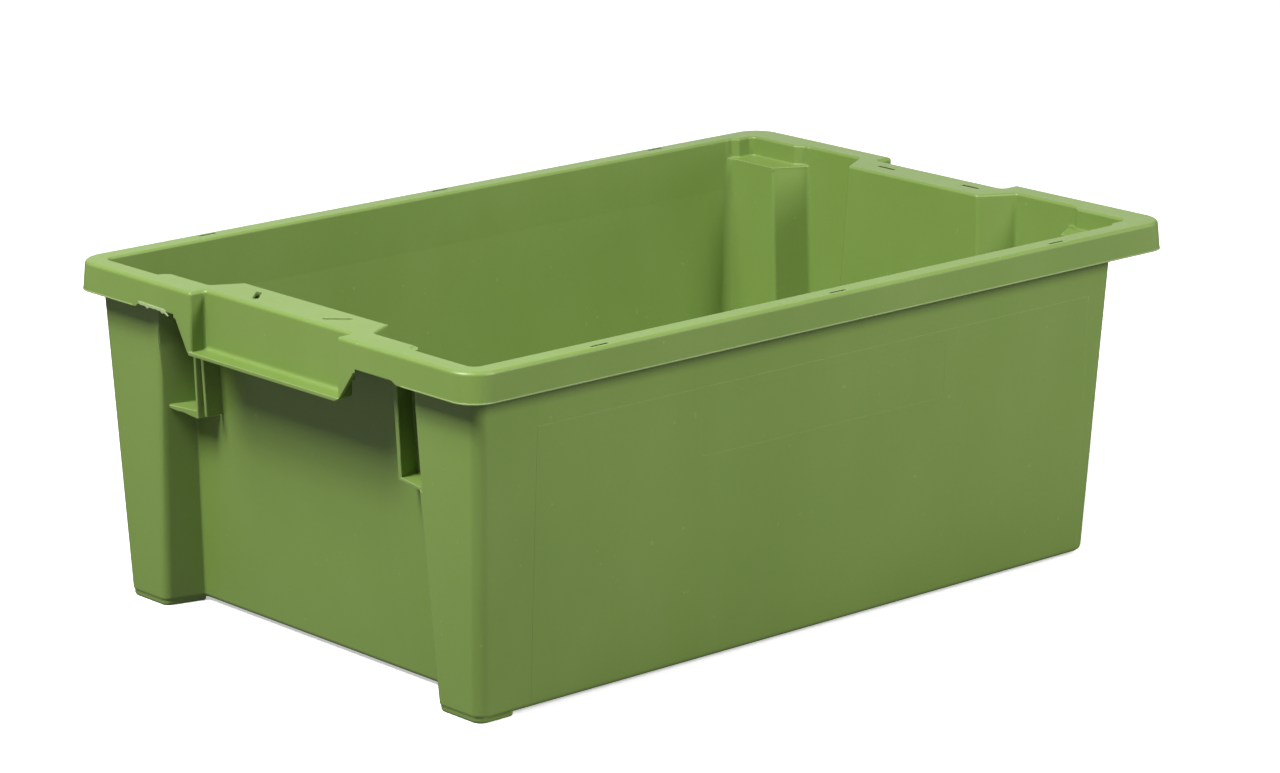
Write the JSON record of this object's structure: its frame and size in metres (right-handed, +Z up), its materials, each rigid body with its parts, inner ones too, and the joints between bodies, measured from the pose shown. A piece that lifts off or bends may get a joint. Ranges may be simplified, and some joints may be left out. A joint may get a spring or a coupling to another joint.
{
  "type": "stack-and-nest storage crate",
  "caption": "Rigid open-top moulded storage crate that nests when turned one way and stacks when turned the other, with recessed end grips and a hollow rim.",
  "frame": {"origin": "centre of the footprint of the rim, at the level of the feet", "axes": "+X along the length, away from the end whose corner legs reach out to the rim; +Y across the width; +Z up through the open top"},
  "size_m": [0.6, 0.4, 0.224],
  "materials": {
    "green_plastic": "satin moulded polyethylene or polypropylene with a fine grain, leaf green"
  },
  "bodies": {
    "root": {"crate_body": "green_plastic"}
  },
  "joints": []
}
